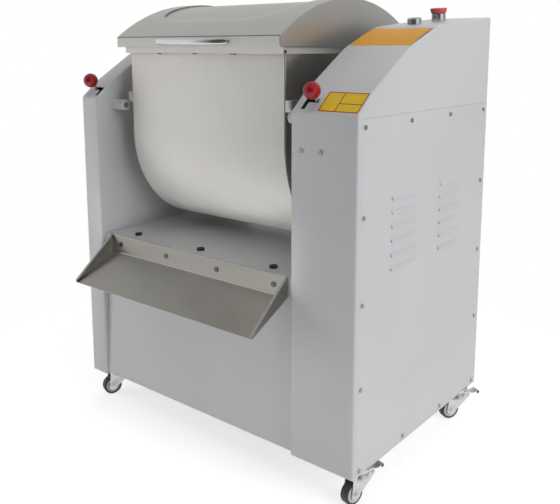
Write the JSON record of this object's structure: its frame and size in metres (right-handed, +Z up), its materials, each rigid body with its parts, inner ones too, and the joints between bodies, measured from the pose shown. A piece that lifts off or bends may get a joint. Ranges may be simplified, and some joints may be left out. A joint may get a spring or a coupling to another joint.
{
  "type": "dough mixer",
  "caption": "Floor-standing dough mixer with a lidded tilting bowl between two pedestals on casters, a discharge tray in front and an agitator driven from the right pedestal.",
  "frame": {"origin": "on the floor, under the middle of the overall box", "axes": "+X to the right pedestal with the buttons as seen from the front, +Y to the back, +Z up"},
  "size_m": [0.8835, 0.706, 1.0633],
  "materials": {
    "casing_paint": "light grey powder coat, low gloss",
    "bowl_sheet": "fine hairline brushing",
    "tray_sheet": "fine hairline brushing",
    "inner_steel": "plain ground steel",
    "bright_metal": "polished",
    "frame_paint": "grey satin paint",
    "housing_iron": "painted casting",
    "bush_bronze": "machined bronze",
    "black_rubber": "matt",
    "black_plastic": "glossy",
    "knob_red": "glossy red",
    "start_green": "glossy green",
    "stop_red": "glossy red",
    "wheel_rubber": "matt grey tread on a light hub",
    "motor_alloy": "painted fins",
    "box_plastic": "light grey"
  },
  "bodies": {
    "machine": {"left_pedestal_shell": "casing_paint", "right_pedestal_shell": "casing_paint", "left_side_cover": "casing_paint", "right_side_cover": "casing_paint", "left_inner_plate": "casing_paint", "right_inner_plate": "casing_paint", "front_panel": "casing_paint", "rear_panel": "casing_paint", "deck_panel": "casing_paint", "stop_bar": "casing_paint", "lock_guides": "casing_paint", "discharge_tray": "tray_sheet", "cover_screws": "bright_metal", "tray_screws": "bright_metal", "start_bezel": "bright_metal", "estop_collar": "bright_metal", "caster_heads": "bright_metal", "bearing_housings": "housing_iron", "trunnion_bushes": "bush_bronze", "base_frame": "frame_paint", "deck_plugs": "black_rubber", "stop_buffers": "black_rubber", "drive_belt": "black_rubber", "cable_gland": "black_plastic", "motor": "motor_alloy", "contactor_box": "box_plastic"},
    "bowl": {"bowl_trough": "bowl_sheet", "bowl_ends": "bowl_sheet", "bowl_rim": "bowl_sheet", "bowl_trunnions": "inner_steel", "shaft_seals": "black_rubber", "shaft_bushes": "bush_bronze", "lid_hinge_brackets": "bright_metal", "lid_hinge_pins": "bright_metal"},
    "lid": {"lid_shell": "bowl_sheet", "lid_handle": "bright_metal"},
    "agitator": {"agitator_shaft": "inner_steel", "agitator_wings": "inner_steel", "driven_gear": "inner_steel"},
    "countershaft": {"pinion_shaft": "inner_steel", "counter_pulley": "housing_iron"},
    "motor_rotor": {"motor_pulley": "inner_steel"},
    "left_lock": {"left_lock_pin": "bright_metal", "left_lock_knob": "knob_red"},
    "right_lock": {"right_lock_pin": "bright_metal", "right_lock_knob": "knob_red"},
    "start": {"start_button": "start_green"},
    "estop": {"estop_head": "stop_red"},
    "caster_front_left": {"fork_front_left": "bright_metal"},
    "rolling_front_left": {"wheel_front_left": "wheel_rubber"},
    "pedal_front_left": {"brake_pedal_front_left": "bright_metal"},
    "caster_front_right": {"fork_front_right": "bright_metal"},
    "rolling_front_right": {"wheel_front_right": "wheel_rubber"},
    "pedal_front_right": {"brake_pedal_front_right": "bright_metal"},
    "caster_rear_left": {"fork_rear_left": "bright_metal"},
    "rolling_rear_left": {"wheel_rear_left": "wheel_rubber"},
    "pedal_rear_left": {"brake_pedal_rear_left": "bright_metal"},
    "caster_rear_right": {"fork_rear_right": "bright_metal"},
    "rolling_rear_right": {"wheel_rear_right": "wheel_rubber"},
    "pedal_rear_right": {"brake_pedal_rear_right": "bright_metal"}
  },
  "joints": [
    {"name": "bowl_tilt", "type": "hinge", "parent": "machine", "child": "bowl", "pos_m": [-0.0513, 0.055, 0.736], "axis": [1, 0, 0], "range_deg": [0, 75]},
    {"name": "lid_hinge", "type": "hinge", "parent": "bowl", "child": "lid", "pos_m": [-0.0513, 0.328, 0.9583], "axis": [-1, 0, 0], "range_deg": [0, 100]},
    {"name": "agitator_spin", "type": "hinge", "parent": "machine", "child": "agitator", "pos_m": [-0.0513, 0.055, 0.736], "axis": [1, 0, 0], "continuous": true},
    {"name": "countershaft_spin", "type": "hinge", "parent": "machine", "child": "countershaft", "pos_m": [0.3362, 0.055, 0.5785], "axis": [1, 0, 0], "continuous": true},
    {"name": "motor_spin", "type": "hinge", "parent": "machine", "child": "motor_rotor", "pos_m": [0.2962, 0.055, 0.22], "axis": [1, 0, 0], "continuous": true},
    {"name": "left_lock_slide", "type": "slide", "parent": "machine", "child": "left_lock", "axis": [1, 0, 0], "range_m": [0, 0.022]},
    {"name": "right_lock_slide", "type": "slide", "parent": "machine", "child": "right_lock", "axis": [-1, 0, 0], "range_m": [0, 0.022]},
    {"name": "start_press", "type": "slide", "parent": "machine", "child": "start", "axis": [0, 0.0921, -0.9957], "range_m": [0, 0.003], "stiffness_N_per_m": 800, "springref_m": -0.001},
    {"name": "estop_press", "type": "slide", "parent": "machine", "child": "estop", "axis": [0, 0.0921, -0.9957], "range_m": [0, 0.004]},
    {"name": "swivel_front_left", "type": "hinge", "parent": "machine", "child": "caster_front_left", "pos_m": [-0.3948, -0.189, 0.0687], "axis": [0, 0, 1], "continuous": true},
    {"name": "roll_front_left", "type": "hinge", "parent": "caster_front_left", "child": "rolling_front_left", "pos_m": [-0.40232, -0.20967, 0.025], "axis": [0.9397, -0.342, 0], "continuous": true},
    {"name": "brake_front_left", "type": "hinge", "parent": "caster_front_left", "child": "pedal_front_left", "pos_m": [-0.38556, -0.16363, 0.0587], "axis": [-0.9397, 0.342, 0], "range_deg": [0, 18]},
    {"name": "swivel_front_right", "type": "hinge", "parent": "machine", "child": "caster_front_right", "pos_m": [0.3992, -0.189, 0.0687], "axis": [0, 0, 1], "continuous": true},
    {"name": "roll_front_right", "type": "hinge", "parent": "caster_front_right", "child": "rolling_front_right", "pos_m": [0.39463, -0.21052, 0.025], "axis": [0.9781, -0.2079, 0], "continuous": true},
    {"name": "brake_front_right", "type": "hinge", "parent": "caster_front_right", "child": "pedal_front_right", "pos_m": [0.40481, -0.16259, 0.0587], "axis": [-0.9781, 0.2079, 0], "range_deg": [0, 18]},
    {"name": "swivel_rear_left", "type": "hinge", "parent": "machine", "child": "caster_rear_left", "pos_m": [-0.3948, 0.273, 0.0687], "axis": [0, 0, 1], "continuous": true},
    {"name": "roll_rear_left", "type": "hinge", "parent": "caster_rear_left", "child": "rolling_rear_left", "pos_m": [-0.38218, 0.25498, 0.025], "axis": [0.8192, 0.5736, 0], "continuous": true},
    {"name": "brake_rear_left", "type": "hinge", "parent": "caster_rear_left", "child": "pedal_rear_left", "pos_m": [-0.41029, 0.29512, 0.0587], "axis": [-0.8192, -0.5736, 0], "range_deg": [0, 18]},
    {"name": "swivel_rear_right", "type": "hinge", "parent": "machine", "child": "caster_rear_right", "pos_m": [0.3992, 0.273, 0.0687], "axis": [0, 0, 1], "continuous": true},
    {"name": "roll_rear_right", "type": "hinge", "parent": "caster_rear_right", "child": "rolling_rear_right", "pos_m": [0.3882, 0.25395, 0.025], "axis": [0.866, -0.5, 0], "continuous": true},
    {"name": "brake_rear_right", "type": "hinge", "parent": "caster_rear_right", "child": "pedal_rear_right", "pos_m": [0.4127, 0.29638, 0.0587], "axis": [-0.866, 0.5, 0], "range_deg": [0, 18]}
  ],
  "couplings": [
    {"joint": "countershaft_spin", "follows": "agitator_spin", "ratio": -6},
    {"joint": "motor_spin", "follows": "agitator_spin", "ratio": -21.871}
  ]
}
